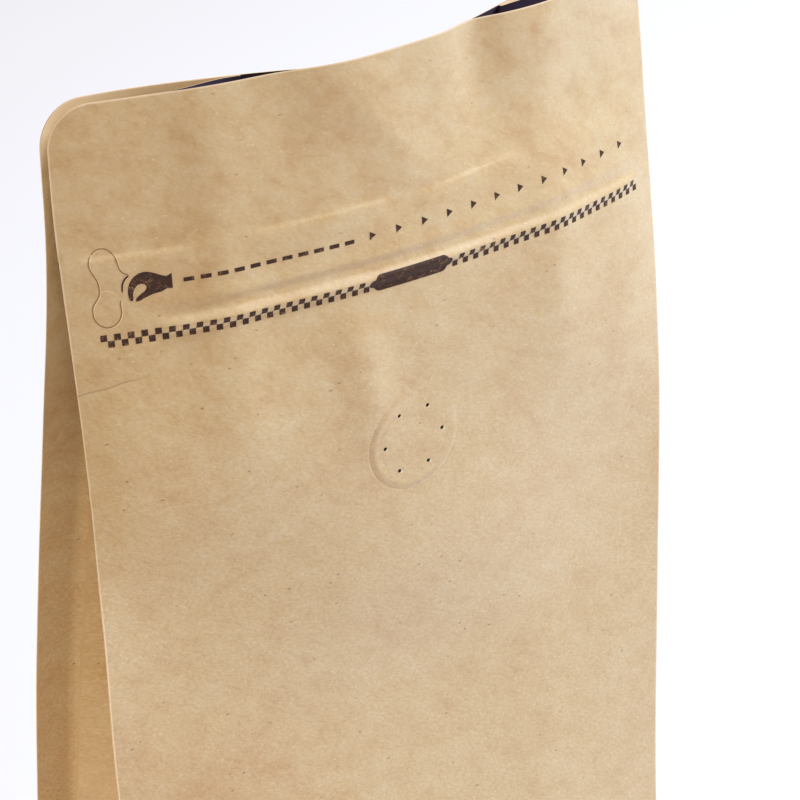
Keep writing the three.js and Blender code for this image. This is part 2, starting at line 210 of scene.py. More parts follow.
# Soft folds of the front web where it is bowed open: the crest line's rows h and places u there,
# half width and height (mm), and the rows between which the fold comes up and dies out.
FOLDS = [
    ([0, 27, 60, 85], [28, 30, 30, 33], 6.0, 0.8, (-6, 10), (60, 86)),
    ([0, 22], [42, 46], 6.0, -0.6, (-30, -10), (8, 28)),
    ([0, 10, 20, 28], [57, 61, 68, 72], 8.0, 0.9, (-8, 8), (22, 32)),
    ([0, 25], [86.5, 88], 6.0, -1.8, (-30, -10), (5, 30)),
    ([40, 50, 78, 92], [52, 54, 60, 63], 5.5, 1.0, (44, 56), (66, 88)),
    ([0, 27, 62, 90], [103, 103, 104.5, 108], 6.8, 0.8, (-10, 8), (60, 90)),
    ([50, 110, 190, 265], [20, 26, 24, 30], 12, 0.35, (80, 110), (190, 250)),
    ([50, 110, 190, 265], [96, 92, 104, 100], 13, 0.4, (90, 120), (190, 250)),
]
# Small sharp wrinkles: start, end (u, h), half width, height (mm).
WRINKLES = [
    ((56, 6), (71, 22), 1.6, 0.14),
    ((76, 17.2), (88, 16.6), 1.5, 0.12),
    ((21, 30.6), (28, 29.2), 1.2, 0.16),
    ((104, 31.4), (126, 30.6), 1.6, 0.10),
    ((2, 49.5), (24, 47.2), 1.8, 0.12),
]
# Where the strip's upper edge shows through: start, end (u, h) and rise of each length of the line.
STRIP_LINES = [
    ((-8, 28.3), (27, 29.4), 0.46),
    ((34, 29.0), (66, 28.6), 0.34),
    ((69, 29.5), (99, 27.6), 0.36),
]


def wrinkled(wrinkles, u, h):
    """The height of the given wrinkles at (u, h); each runs out at its ends."""
    lift = 0
    for start, end, half, height in wrinkles:
        d, t = segment_distance(u, h, start, end)
        ends = smoothstep(t, 0, 0.35) * (1 - smoothstep(t, 0.65, 1))
        lift = lift + height * np.exp(-((d / half) ** 2)) * ends
    return lift


def front_wave(u, h):
    """The folds move the front web, the strip behind it and the sealed edge together."""
    lift = np.zeros(np.broadcast(u, h).shape)
    for stations, values, half, height, come, go in FOLDS:
        away = (u - np.interp(h, stations, values)) / half
        lift = lift + height * np.exp(-(away**2)) * smoothstep(h, *come) * (1 - smoothstep(h, *go))
    edges = smoothstep(u, 0, 9) * (1 - smoothstep(u, PANEL_WIDTH - 9, PANEL_WIDTH))
    return lift * edges


def front_relief(u, h):
    """How far the front web stands proud of its smooth form, folds left out."""
    under = np.clip(1 - np.abs(h - RIB_AT) / RIB_HALF, 0, 1)
    rib = RIB_HEIGHT * under * under * (3 - 2 * under)
    trough = RIB_TROUGH * np.exp(-(((h - RIB_AT + 2.7) / 1.0) ** 2))
    trough = trough - RIDGE_HEIGHT * np.exp(-(((h - RIB_AT + 4.5) / 1.15) ** 2))
    lift = (rib - trough) * smoothstep(u, 14, 22) * (1 - 0.42 * smoothstep(u, 50, 120))
    lift = lift * (1 - smoothstep(u, 124, 133))
    behind = smoothstep(h, STRIP_TOP - 1, STRIP_TOP + 1) * (1 - smoothstep(h, 46, 50))
    lift = lift + STRIP_RELIEF * behind
    r = np.hypot(u - VALVE_U, h - VALVE_H)
    bead = np.clip(1 - np.abs(r - RING_R) / RING_HALF, 0, 1)
    turn = np.arctan2(h - VALVE_H, u - VALVE_U)
    uneven = 0.72 - 0.28 * np.cos(turn + 0.75) + 0.14 * np.sin(3 * turn + 1)
    lift = lift + RING_HEIGHT * uneven * bead * bead * (3 - 2 * bead)
    lift = lift + DISC_RELIEF * (1 - smoothstep(r, RING_R - 2, RING_R))
    lift = lift + wrinkled(WRINKLES, u, h)
    for start, end, rise in STRIP_LINES:
        t = (u - start[0]) / (end[0] - start[0])
        below = h - start[1] - t * (end[1] - start[1])
        ends = smoothstep(t, 0, 0.14) * (1 - smoothstep(t, 0.84, 1))
        lift = lift + rise * ends * smoothstep(below, -0.6, 0.5) * (1 - smoothstep(below, 2, 8))
    below = h - CREASE_AT + CREASE_SLOPE * u
    pushed = CREASE_PUSH * smoothstep(below, 0, 12) * (1 - smoothstep(below, 14, 50))
    pushed = pushed - CREASE_NOTCH * np.exp(-((below / 0.5) ** 2))
    return lift + pushed * (1 - smoothstep(u, 5, 17))


def front_inside(u, h, depth):
    """A point behind the front web's outer face, moved with its folds."""
    return front.inside(u, h, depth - front_wave(u, h))


def steps(*runs):
    """Station list from (start, end, spacing) runs."""
    out = [runs[0][0]]
    for start, end, spacing in runs:
        n = max(1, round((end - start) / spacing))
        out += [start + (end - start) * k / n for k in range(1, n + 1)]
    return np.array(out, float)


CORNER_STATIONS = 13
CORNER_U = TOP_CORNER_R * (1 - np.cos(np.linspace(0, math.pi / 2, CORNER_STATIONS)))


def across_panel(*runs):
    """Stations across a panel, close together round its rounded top corners."""
    return np.concatenate([CORNER_U[:-1], steps(*runs), PANEL_WIDTH - CORNER_U[-2::-1]])


# ---- mesh making ----
def grid_piece(name, cols, rows, place, uv_of, flip=False):
    """A sheet whose grid points place(i, j) gives in millimetres, and uv_of its UV map."""
    bm = bmesh.new()
    uv_layer = bm.loops.layers.uv.new("web")
    bmesh.ops.create_grid(bm, x_segments=cols - 1, y_segments=rows - 1, size=1, calc_uvs=True)
    bm.verts.ensure_lookup_table()
    xy = np.array([v.co[:2] for v in bm.verts])
    i = np.rint((xy[:, 0] + 1) / 2 * (cols - 1)).astype(int)
    j = np.rint((1 - xy[:, 1]) / 2 * (rows - 1)).astype(int)
    points = place(i, j) * MM
    uvs = uv_of(i, j) / 100
    for v, p in zip(bm.verts, points):
        v.co = p
    for f in bm.faces:
        f.smooth = True
        for loop in f.loops:
            loop[uv_layer].uv = uvs[loop.vert.index]
    if flip:
        bmesh.ops.reverse_faces(bm, faces=bm.faces)
    return finish_mesh(name, bm)


def finish_mesh(name, bm):
    mesh = bpy.data.meshes.new(name)
    bm.to_mesh(mesh)
    bm.free()
    piece = bpy.data.objects.new(name, mesh)
    bpy.context.scene.collection.objects.link(piece)
    return piece


def thicken(piece, thickness, *materials):
    """Gives a web its thickness inwards: lining inside, bare cut edge round the rim."""
    for material in materials:
        piece.data.materials.append(material)
    mod = piece.modifiers.new("web", "SOLIDIFY")
    mod.thickness = thickness * MM
    mod.offset = -1
    mod.material_offset = 1
    mod.material_offset_rim = 2


def settle(piece):
    """Replaces a piece's mesh by its result, so no modifier stays live."""
    graph = bpy.context.evaluated_depsgraph_get()
    made = bpy.data.meshes.new_from_object(piece.evaluated_get(graph))
    old = piece.data
    piece.modifiers.clear()
    piece.data = made
    made.name = piece.name
    bpy.data.meshes.remove(old)
    made.set_sharp_from_angle(angle=math.radians(50))


def dress(piece, node, slot, *materials):
    """Adds materials, hangs the piece on the root body and hides the solid it replaces; slot is
    unused.
    """
    for material in materials:
        piece.data.materials.append(material)
    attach(piece, "root")
    if node:
        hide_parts(node)
    return piece


# ---- shader maths ----
class Wire:
    """A value on its way through a material's nodes; sums on it add Math nodes."""

    def __init__(self, book, socket):
        self.book = book
        self.socket = socket

    def math(self, operation, other=None, swap=False):
        a, b = (other, self) if swap else (self, other)
        values = {0: self} if other is None else {0: a, 1: b}
        return self.book.node("ShaderNodeMath", {"operation": operation}, values)

    def __add__(self, other):
        return self.math("ADD", other)

    __radd__ = __add__

    def __sub__(self, other):
        return self.math("SUBTRACT", other)

    def __rsub__(self, other):
        return self.math("SUBTRACT", other, swap=True)

    def __mul__(self, other):
        return self.math("MULTIPLY", other)

    __rmul__ = __mul__

    def __gt__(self, other):
        return self.math("GREATER_THAN", other)

    def __pow__(self, other):
        return self.math("POWER", other)

    def size(self):
        return self.math("ABSOLUTE")

    def wave(self):
        return self.math("SINE")

    def most(self, other):
        return self.math("MAXIMUM", other)

    def band(self, low, high):
        """Rises smoothly from 0 to 1 as the value goes from low to high."""
        return self.book.node(
            "ShaderNodeMapRange",
            {"interpolation_type": "SMOOTHSTEP", "clamp": True},
            {"Value": self, "From Min": low, "From Max": high},
        )


class Book:
    """Builds one material's node tree."""

    def __init__(self, name):
        self.material = bpy.data.materials.new(name)
        self.material.use_nodes = True
        self.tree = self.material.node_tree
        self.tree.nodes.clear()

    def node(self, kind, settings, values, output=0):
        made = self.tree.nodes.new(kind)
        for key, value in settings.items():
            if key == "stops":
                self.set_stops(made.color_ramp, value)
            else:
                setattr(made, key, value)
        for key, value in values.items():
            socket = made.inputs[key]
            if isinstance(value, Wire):
                self.tree.links.new(value.socket, socket)
            else:
                socket.default_value = value
        return Wire(self, made.outputs[output]) if len(made.outputs) else None

    @staticmethod
    def set_stops(ramp, stops):
        while len(ramp.elements) > 1:
            ramp.elements.remove(ramp.elements[-1])
        ramp.elements[0].position, ramp.elements[0].color = stops[0][0], (*stops[0][1], 1)
        for position, colour in stops[1:]:
            ramp.elements.new(position).color = (*colour, 1)

    def web_uv(self):
        """The piece's own UV map: millimetres / 100 across and down the web."""
        return self.node("ShaderNodeUVMap", {"uv_map": "web"}, {})

    def object_coords(self):
        return self.node("ShaderNodeTexCoord", {}, {}, output=3)

    def in_mm(self, web):
        """How far across and how far down the web a point lies, in millimetres."""
        parts = [self.node("ShaderNodeSeparateXYZ", {}, {0: web}, output=k) for k in (0, 1)]
        return [part * 100 for part in parts]

    def place(self, vector, scale, turn=0.0, shift=(0, 0, 0)):
        """A vector scaled, turned about Z and shifted."""
        values = {"Vector": vector, "Scale": scale, "Rotation": (0, 0, turn), "Location": shift}
        return self.node("ShaderNodeMapping", {}, values)

    def noise(self, vector, scale, detail=3.0, rough=0.55, warp=0.0):
        values = {"Vector": vector, "Scale": scale, "Detail": detail}
        values.update({"Roughness": rough, "Distortion": warp})
        return self.node("ShaderNodeTexNoise", {}, values)

    def mix(self, factor, a, b, blend="MIX"):
        return self.node(
            "ShaderNodeMix",
            {"data_type": "RGBA", "blend_type": blend},
            {"Factor": factor, 6: a, 7: b},
            output=2,
        )

    def bump(self, height, distance, strength=1.0, under=None):
        values = {"Height": height, "Distance": distance * MM, "Strength": strength}
        if under is not None:
            values["Normal"] = under
        return self.node("ShaderNodeBump", {}, values)

    def finish(self, **values):
        named = {key.replace("_", " "): value for key, value in values.items()}
        shader = self.node("ShaderNodeBsdfPrincipled", {}, named)
        self.node("ShaderNodeOutputMaterial", {}, {"Surface": shader})
        return self.material


def colour(r, g, b):
    """A colour given as it looks on a screen, 11 to 255, made linear."""
    return tuple(((c / 255 + 0.055) / 1.055) ** 2.4 for c in (r, g, b))


def rgba(r, g, b):
    return (*colour(r, g, b), 1)


KRAFT_LIGHT = (203, 180, 138)
KRAFT_MID = (195, 164, 115)
KRAFT_DARK = (182, 141, 86)
DARK_FLECK = rgba(96, 66, 42)
FAINT_FLECK = rgba(132, 98, 60)
PALE_FLECK = rgba(240, 220, 186)
# Painted light: the gusset's kraft made paler along its top edge, where light falls in through the
# mouth.
PAINTED_TOP_LIGHT = rgba(238, 214, 172)
SHADED_FOLD = rgba(142, 106, 62)
# Painted light: the gusset's legs paler low down, where the opened fold turns them to the light.
PAINTED_LEG_LIGHT = rgba(220, 202, 172)
CUT_RIM = rgba(240, 216, 182)
# Painted shade round the valve's rim and along the crease.
PAINTED_SHADE_BROWN = rgba(150, 112, 72)
# Painted highlight on one side of each pinhole's rim.
PINHOLE_HIGHLIGHT = rgba(248, 230, 202)


def speckles(b, uv, scale, turn, shift, share, inner, outer, ragged, channel):
    """Sparse small flecks: the hearts of a few picked cells of a cell pattern."""
    cells = {"Vector": b.place(uv, (1, 2.0, 1), turn, shift), "Scale": scale, "Randomness": 1.0}
    near = b.node("ShaderNodeTexVoronoi", {"feature": "F1"}, cells)
    pick = b.node("ShaderNodeTexVoronoi", {"feature": "F1"}, cells, output=1)
    chance = b.node("ShaderNodeSeparateColor", {}, {0: pick}, output=channel)
    return (1 - (near + ragged).band(inner, outer)) * (chance > 1 - share)


def from_cut(b, web):
    """Distance in millimetres from the panel's cut edge, rounded top corners included."""
    u, h = b.in_mm(web)
    short = ((u - PANEL_WIDTH / 2).size() - (PANEL_WIDTH / 2 - TOP_CORNER_R)).most(0)
    above = (TOP_CORNER_R - h).most(0)
    return TOP_CORNER_R - reach(short, above)


FIBRE_LAY = 0.58
FIBRE_DRAWN = 0.64
COMB_TURN = 0.66
COMB_DRAWN = 0.62
COMB_SHIFT = (4.1, 0.3, 0)


def kraft_paper(
    name,
    shift=(0, 0, 0),
    tint=(1, 1, 1),
    is_front=False,
    panel=True,
    lay=FIBRE_LAY,
    drawn=FIBRE_DRAWN,
    strength=1.0,
):
    """Uncoated brown kraft: cloudy formation, short fibres, dark and pale flecks, a pale cut rim.

    lay is the turn of the paper's fibres from the web's own direction, drawn the share by which
    the pattern is stretched along them, and strength how strongly its clouds and grain show. The
    front web also has its pressed lines, painted shade round the valve's rim, along its crease and
    towards its lower left, and painted highlights at its pinholes. A web that is no panel is a
    gusset's or the floor's; it has painted light near its top edge and low on its legs, and painted
    shade where its fold lies deep.
    """
    b = Book(name)
    web = b.web_uv()
    uv = b.place(web, (1, 1, 1), shift=shift)
    across_web, down_web = b.in_mm(web)

    def stretched(turn, share, moved=(0, 0, 0)):
        return b.place(b.place(uv, (1, 1, 1), turn, moved), (share, 1, 1))

    formed = stretched(lay, drawn)
    combed = stretched(lay * COMB_TURN, drawn * COMB_DRAWN, COMB_SHIFT)
    if not panel:
        fin = across_web.band(GUSSET_FIN_AT - 0.3, GUSSET_FIN_AT + 0.3)
        formed = b.mix(fin, formed, stretched(FIBRE_LAY, FIBRE_DRAWN))
        combed = b.mix(fin, combed, stretched(0.38, 0.4, COMB_SHIFT))
    clouds = b.noise(uv, 4.5, 2, 0.5, 0.3)
    mottle = b.noise(formed, 21, 4, 0.6, 0.3)
    blotch = b.noise(b.place(formed, (1, 1, 1), 0.4), 58, 3, 0.55, 0.5)
    flock = b.noise(formed, 140, 2, 0.55)
    grain = b.noise(formed, 300, 2, 0.6)
    fibre = b.noise(combed, 300, 3, 0.6, 0.3)
    cloudiness = (1.2 - down_web.band(15, 120) * 0.32) * strength
    tone = 0.5 + (clouds * 0.4 + mottle * 0.7 + blotch * 0.38 - 0.74) * cloudiness
    if is_front:
        # Painted shade: the front web darker towards its lower left, where it bows away from the
        # light.
        tone = tone - across_web.band(70, 10) * down_web.band(110, 170) * 0.3
    stops = [
        (at, tuple(v * t for v, t in zip(colour(*shade), tint)))
        for at, shade in ((0.18, KRAFT_DARK), (0.5, KRAFT_MID), (0.85, KRAFT_LIGHT))
    ]
    base = b.node("ShaderNodeValToRGB", {"stops": stops}, {0: tone})
    rough_feel = (0.6 + down_web.band(15, 110) * 0.55) * strength
    fine = 0.5 + (grain * 0.37 + fibre * 0.43 + flock * 0.4 - 0.6) * rough_feel
    grainy = b.mix(fine, (0.6, 0.5, 0.31, 1), (1.4, 1.5, 1.69, 1))
    base = b.mix(1.0, base, grainy, "MULTIPLY")
    warmth = b.noise(b.place(uv, (1, 1, 1), 0.7, (2.2, 5.1, 0)), 42, 3, 0.6, 0.4).band(0.3, 0.7)
    cast = b.mix(warmth, (1.004, 1.0, 0.97, 1), (0.996, 1.0, 1.03, 1))
    base = b.mix(1.0, base, cast, "MULTIPLY")
    ragged = (grain - 0.5) * 0.16
    dark = speckles(b, uv, 40, 0.35, (0, 0, 0), 0.065, 0.06, 0.19, ragged, 0) * rough_feel
    faint = speckles(b, uv, 85, -0.2, (1.3, 2.9, 0), 0.16, 0.06, 0.2, ragged, 1)
    pale = speckles(b, uv, 48, -0.6, (3.1, 1.7, 0), 0.035, 0.04, 0.15, ragged, 2)
    base = b.mix(faint * rough_feel * 0.34, base, FAINT_FLECK)
    base = b.mix(dark * 0.72, base, DARK_FLECK)
    base = b.mix(pale * 0.45, base, PALE_FLECK)
    away = from_cut(b, web) if panel else down_web
    if not panel:
        # Painted light: paler near the gusset's top edge, where light falls in through the mouth.
        base = b.mix((1 - away.band(0.4, 6.5)) * 0.68, base, PAINTED_TOP_LIGHT)
        base = b.mix(away.band(12, 34) * away.band(88, 50) * 0.3, base, SHADED_FOLD)
        # Painted light: the legs paler low down, where the opened fold turns them to the light.
        base = b.mix((1 - fin) * away.band(120, 170) * 0.25, base, PAINTED_LEG_LIGHT)
    rim = 1 - (away + (grain - 0.5) * 0.2).band(0.06, 0.4)
    base = b.mix(rim * 0.62, base, CUT_RIM)
    if is_front:
        # Painted shade: a darker ring round the valve's rim, strongest at its lower left, and a
        # dark line along the crease.
        base = b.mix(painted_shade_lines(b, web, grain, mottle), base, PAINTED_SHADE_BROWN)
        # Painted highlight on one side of each pinhole's rim.
        base = b.mix(pinhole_highlights(b, web) * 0.6, base, PINHOLE_HIGHLIGHT)
    normal = b.bump(mottle, 0.10, 0.5)
    normal = b.bump(grain * 0.45 + fibre * 0.55, 0.011, 0.7, under=normal)
    if is_front:
        normal = b.bump(pressed_lines(b, web), 1.0, 1.0, under=normal)
    return b.finish(
        Base_Color=base,
        Roughness=0.56 + (mottle - 0.5) * 0.16,
        Normal=normal,
        Specular_IOR_Level=0.7,
        Sheen_Weight=0.6,
        Sheen_Roughness=0.5,
    )


def reach(a, b):
    """The distance whose two parts are a and b."""
    return (a * a + b * b) ** 0.5


def off_crease(u, h):
    """Distance from the fine crease at the left edge, which wavers a little."""
    return (h - CREASE_AT + u * CREASE_SLOPE + (u * 0.9).wave() * 0.12).size()


def pinhole_highlights(b, web):
    """A painted highlight on one side of each pinhole's rim."""
    u, h = b.in_mm(web)
    glints = 0
    for turn in PINHOLE_TURNS:
        a = u - (VALVE_U + PINHOLE_CIRCLE_R * math.sin(turn) + PINHOLE_HIGHLIGHT_OFFSET[0])
        c = h - (VALVE_H - PINHOLE_CIRCLE_R * math.cos(turn) + PINHOLE_HIGHLIGHT_OFFSET[1])
        glints = (1 - reach(a, c).band(0.1, 0.42)) + glints
    return glints


def painted_shade_lines(b, web, grain, mottle):
    """Painted shade: round the valve's rim, strongest at its lower left, and along the crease."""
    u, h = b.in_mm(web)
    side = u - VALVE_U
    down = h - VALVE_H
    r = reach(side, down)
    outside = 1 - (r - SHADE_RING_R + (grain - 0.5) * 0.5).size().band(0.15, 0.8)
    lower_left = (down - side).band(-12.0, 13.0) * 0.75 + 0.12
    patchy = mottle.band(0.34, 0.62)
    crease = (1 - off_crease(u, h).band(0.03, 0.3)) * u.band(15.5, 8.0)
    return (outside * lower_left * patchy * 0.5).most(crease * 0.5)


def pressed_lines(b, web):
    """Fine pressed lines of the front web, as heights in millimetres."""
    u, h = b.in_mm(web)
    side = u - VALVE_U
    down = h - VALVE_H
    deep = (down - side).band(-14.0, 4.0) * 0.03 + 0.012
    height = (reach(side, down) - RING_GROOVE_R).size().band(0.0, 0.32) * deep
    for turn in PINHOLE_TURNS:
        a = side - PINHOLE_CIRCLE_R * math.sin(turn)
        c = down + PINHOLE_CIRCLE_R * math.cos(turn)
        height = height + reach(a, c).band(0.25, 0.95) * 0.05
    height = height - (1 - off_crease(u, h).band(0.0, 0.5)) * u.band(16.5, 3.0) * 0.05
    off_second = (h - SECOND_CREASE_AT + u * SECOND_CREASE_SLOPE).size()
    height = height + (1 - off_second.band(0.0, 1.1)) * u.band(30.0, 12.0) * 0.03
    return height


def lining_film(name):
    """Dark blue inner film of the laminate: smooth, with faint cockles."""
    b = Book(name)
    uv = b.web_uv()
    cockle = b.noise(uv, 18, 2, 0.5, 0.6)
    scuff = b.noise(b.place(uv, (1, 5, 1), 0.4), 60, 4, 0.7, 0.4)
    base = b.mix(scuff.band(0.45, 0.8) * 0.5, rgba(72, 61, 78), rgba(96, 84, 106))
    return b.finish(
        Base_Color=base,
        Roughness=0.34 + (scuff - 0.5) * 0.2,
        Normal=b.bump(cockle, 0.3, 0.5),
    )


def cut_edge(name):
    """The bare, fibrous cut edge of the web."""
    b = Book(name)
    where = b.object_coords()
    fray = b.noise(where, 1400, 3, 0.7)
    base = b.mix(fray, rgba(206, 172, 128), rgba(238, 210, 170))
    return b.finish(Base_Color=base, Roughness=0.9, Normal=b.bump(fray, 0.05, 0.7))


def plastic(name, low, high, rough):
    """Moulded or drawn plastic between two near shades."""
    b = Book(name)
    where = b.object_coords()
    fine = b.noise(where, 900, 3, 0.6)
    broad = b.noise(where, 75, 2, 0.5)
    base = b.mix(broad, rgba(*low), rgba(*high))
    return b.finish(
        Base_Color=base,
        Roughness=rough + (fine - 0.5) * 0.12,
        Normal=b.bump(fine, 0.02, 0.6),
    )


def ink(name):
    """Brown-black ink, worn off the paper's high spots."""
    b = Book(name)
    uv = b.web_uv()
    speck = b.noise(uv, 330, 4, 0.75)
    patch = b.noise(uv, 60, 2, 0.5)
    worn = (speck + (patch - 0.5) * 0.6).band(0.56, 0.7)
    tone = b.noise(uv, 120, 3, 0.6)
    base = b.mix(tone, rgba(44, 22, 13), rgba(70, 41, 28))
    base = b.mix(worn * 0.55, base, rgba(176, 140, 100))
    return b.finish(
        Base_Color=base,
        Roughness=0.62 + worn * 0.2,
        Normal=b.bump(speck, 0.03, 0.6),
        Specular_IOR_Level=0.3,
    )


kraft_front = kraft_paper("kraft_front", is_front=True, lay=-FIBRE_LAY)
kraft_back = kraft_paper("kraft_back", (3.7, 1.2, 0), strength=0.85)
# Painted shade colour: the side webs' warmer tint stands in for the warm light bounced inside the
# gusset folds.
kraft_side = kraft_paper(
    "kraft_side",
    (6.1, 4.4, 0),
    (1.05, 1.02, 0.9),
    panel=False,
    lay=0.0,
    drawn=0.5,
    strength=1.2,
)
lining = lining_film("blue_lining")
edge = cut_edge("cut_edge")
print_ink = ink("print_ink")

# ---- front web ----
FRONT_U = across_panel((8, 54, 1.3), (54, 82, 0.42), (82, 127, 1.3))
FRONT_H = steps(
    (0, 4, 0.8), (4, 28, 1.2), (28, 29.2, 0.4), (29.2, 38.8, 0.95), (38.8, 46, 0.24),
    (46, 50.5, 0.85), (50.5, 55, 0.3), (55, 66, 1.1), (66, 93, 0.42), (93, 150, 1.6),
    (150, 265, 2.3),
)


def cut_row(u, row):
    """The distance down the web of a row that starts on the rounded top edge."""
    cut = top_cut(u)
    return cut + row * (PANEL_HEIGHT - cut) / PANEL_HEIGHT


def on_front(u, row):
    h = cut_row(u, row)
    return front_inside(u, h, -front_relief(u, h))


front_web = grid_piece(
    "front_web",
    len(FRONT_U),
    len(FRONT_H),
    lambda i, j: on_front(FRONT_U[i], FRONT_H[j]),
    lambda i, j: np.stack([FRONT_U[i], cut_row(FRONT_U[i], FRONT_H[j])], -1),
)
thicken(front_web, WEB, kraft_front, lining, edge)
settle(front_web)


def frame_on_front(u, h):
    """A matrix at (u, h): Y out of the front panel over the valve, X to the right and Z up."""
    out = Vector(-front.normal(VALVE_U, VALVE_H))
    across = (Vector((1, 0, 0)) - out * out.x).normalized()
    up = out.cross(across).normalized()
    centre = Vector(front.at(u, h)) * MM
    return Matrix.Translation(centre) @ Matrix((across, out, up)).transposed().to_4x4()


def drill_pinholes(piece):
    """Six round holes through the web over the valve."""
    bm = bmesh.new()
    spot = frame_on_front(VALVE_U, VALVE_H)
    stand = Matrix.Rotation(math.pi / 2, 4, "X")
    for turn in PINHOLE_TURNS:
        side = PINHOLE_CIRCLE_R * math.sin(turn) * MM
        up = PINHOLE_CIRCLE_R * math.cos(turn) * MM
        bmesh.ops.create_cone(
            bm,
            cap_ends=True,
            segments=14,
            radius1=PINHOLE_R * MM,
            radius2=PINHOLE_R * MM,
            depth=3 * MM,
            matrix=spot @ Matrix.Translation((side, 0, up)) @ stand,
        )
    bmesh.ops.recalc_face_normals(bm, faces=bm.faces)
    drills = finish_mesh("drills", bm)
    mod = piece.modifiers.new("holes", "BOOLEAN")
    mod.operation = "DIFFERENCE"
    mod.solver = "EXACT"
    mod.object = drills
    settle(piece)
    mesh = drills.data
    bpy.data.objects.remove(drills)
    bpy.data.meshes.remove(mesh)


drill_pinholes(front_web)
dress(front_web, "front_panel", "kraft")

# ---- back web ----
BACK_U = across_panel((8, 127, 2.0))
BACK_H = steps((0, 6, 0.8), (6, 60, 2.0), (60, 265, 3.5))
BACK_WRINKLES = [
    ((30, 18), (60, 26), 5.0, 0.3),
    ((80, 30), (112, 22), 5.0, -0.3),
    ((24, 70), (60, 84), 9.0, 0.35),
    ((70, 120), (116, 104), 9.0, -0.3),
    ((30, 170), (90, 186), 10.0, 0.3),
]
PINCH_AT = 66
PINCH_HALF = 16
PINCH_DEPTH = 1.2
PINCH_DROP = 0.9


def pinched(u):
    """1 where the mouth is pinched shut, 0 away from it."""
    return np.exp(-(((u - PINCH_AT) / PINCH_HALF) ** 2))


def back_row(u, row):
    """The back panel's rows: its edge dips a little where the mouth is pinched shut."""
    return cut_row(u, row) + PINCH_DROP * pinched(u) * (1 - row / PANEL_HEIGHT)


def on_back(u, row):
    h = back_row(u, row)
    pinch = PINCH_DEPTH * pinched(u) * (1 - smoothstep(h, 4, 26))
    return back.inside(u, h, pinch - wrinkled(BACK_WRINKLES, u, h))


back_web = grid_piece(
    "back_web",
    len(BACK_U),
    len(BACK_H),
    lambda i, j: on_back(BACK_U[i], BACK_H[j]),
    lambda i, j: np.stack([BACK_U[i], back_row(BACK_U[i], BACK_H[j])], -1),
    flip=True,
)
thicken(back_web, WEB, kraft_back, lining, edge)
settle(back_web)
dress(back_web, "back_panel", "kraft")

# ---- side gussets ----
SEAL_U = CORNER_U[:-1]
LEG_T = np.linspace(0, 1, 26)
FACET_T = np.linspace(0, 1, 9)[1:-1]
GUSSET_H = steps((0, 6, 0.9), (6, 26, 2.0), (26, 60, 0.7), (60, 230, 3.0), (230, 265, 1.6))
LEAST_DEPTH = 1.2
LEAST_SHARE = 0.02
FOLD_WIDTH = 0.6
# At the mouth the fold lies near the back web (share 1) and the legs are bent. From GUSSET_OPENS
# down it lies half way and they are straight.
MOUTH_FOLD_SHARE = 0.93
MOUTH_BEND = 1.6
GUSSET_OPENS = 90
CLINGS_TO = 24  # down to here the left gusset's front leg clings to the front web
NEAR_ROWS = (-0.9, -0.45, 0, 0.45, 0.9)  # the seal follows the least relief of these rows


def gusset_level(row, mirrored):
    """One level of a gusset's outer face: front edge, in to the fold, out to the back edge."""

    def facing(u):
        """Points at u behind the front web and before the back web; the seal follows the relief."""
        h = cut_row(u, row)
        across = PANEL_WIDTH - u if mirrored else u
        near_by = np.stack([front_relief(across, h + step) for step in NEAR_ROWS])
        sealed = SEALED_AT - near_by.min(axis=0) * (1 - smoothstep(u, SIDE_SEAL, SIDE_SEAL + 4))
        return front_inside(across, h, sealed), back.inside(across, h, np.full_like(u, SEALED_AT))

    def gap(u, h):
        across = np.array(PANEL_WIDTH - u if mirrored else u)
        h, depth = np.array(h), np.array(SEALED_AT)
        return float(np.linalg.norm(front_inside(across, h, depth) - back.inside(across, h, depth)))

    spread = gap(SIDE_SEAL, row)
    crease_spread = gap(SIDE_SEAL, PANEL_HEIGHT - GUSSET_LEG)
    flat = min((PANEL_HEIGHT - row) / GUSSET_LEG, 1)
    v_depth = lambda half: math.sqrt(max(GUSSET_LEG**2 - half**2, 0))
    depth = v_depth(spread / 2)
    if flat < 1:
        depth = max(v_depth(crease_spread / 2) * flat, LEAST_DEPTH)
    opened = float(smoothstep(row, 0, GUSSET_OPENS))
    power = MOUTH_BEND + (1 - MOUTH_BEND) * opened
    fold_share = MOUTH_FOLD_SHARE + (0.5 - MOUTH_FOLD_SHARE) * opened
    half_fold = FOLD_WIDTH / 2 / gap(SIDE_SEAL + depth, row)
    near = fold_share - half_fold
    far = fold_share + half_fold
    if flat < 1:
        near = LEAST_SHARE + (near - LEAST_SHARE) * flat
        far = 1 - LEAST_SHARE + (far - 1 + LEAST_SHARE) * flat
    beside = smoothstep(row, STRIP_TOP - 8, STRIP_TOP)
    beside = float(beside * (1 - smoothstep(row, STRIP_BOTTOM, STRIP_BOTTOM + 10)))
    lift = STRIP_CLEARANCE * beside / spread
    t = LEG_T
    a, b = facing(SIDE_SEAL + depth * t)
    clung = 0.0 if mirrored else 1 - float(smoothstep(row, 2, CLINGS_TO))
    bent = t**power * (1 - clung) + smoothstep(t, 0.42, 1.0) * clung
    share = near * bent + lift * smoothstep(t, 0, 0.1) * (1 - t)
    front_leg = a + (b - a) * share[:, None]
    share = 1 - (1 - far) * t**power
    back_leg = a + (b - a) * share[:, None]
    middle = near + (far - near) * FACET_T
    facet = a[-1] + (b[-1] - a[-1]) * middle[:, None]
    front_fin, back_fin = facing(SEAL_U)
    return np.concatenate([front_fin, front_leg, facet, back_leg[::-1], back_fin[::-1]])


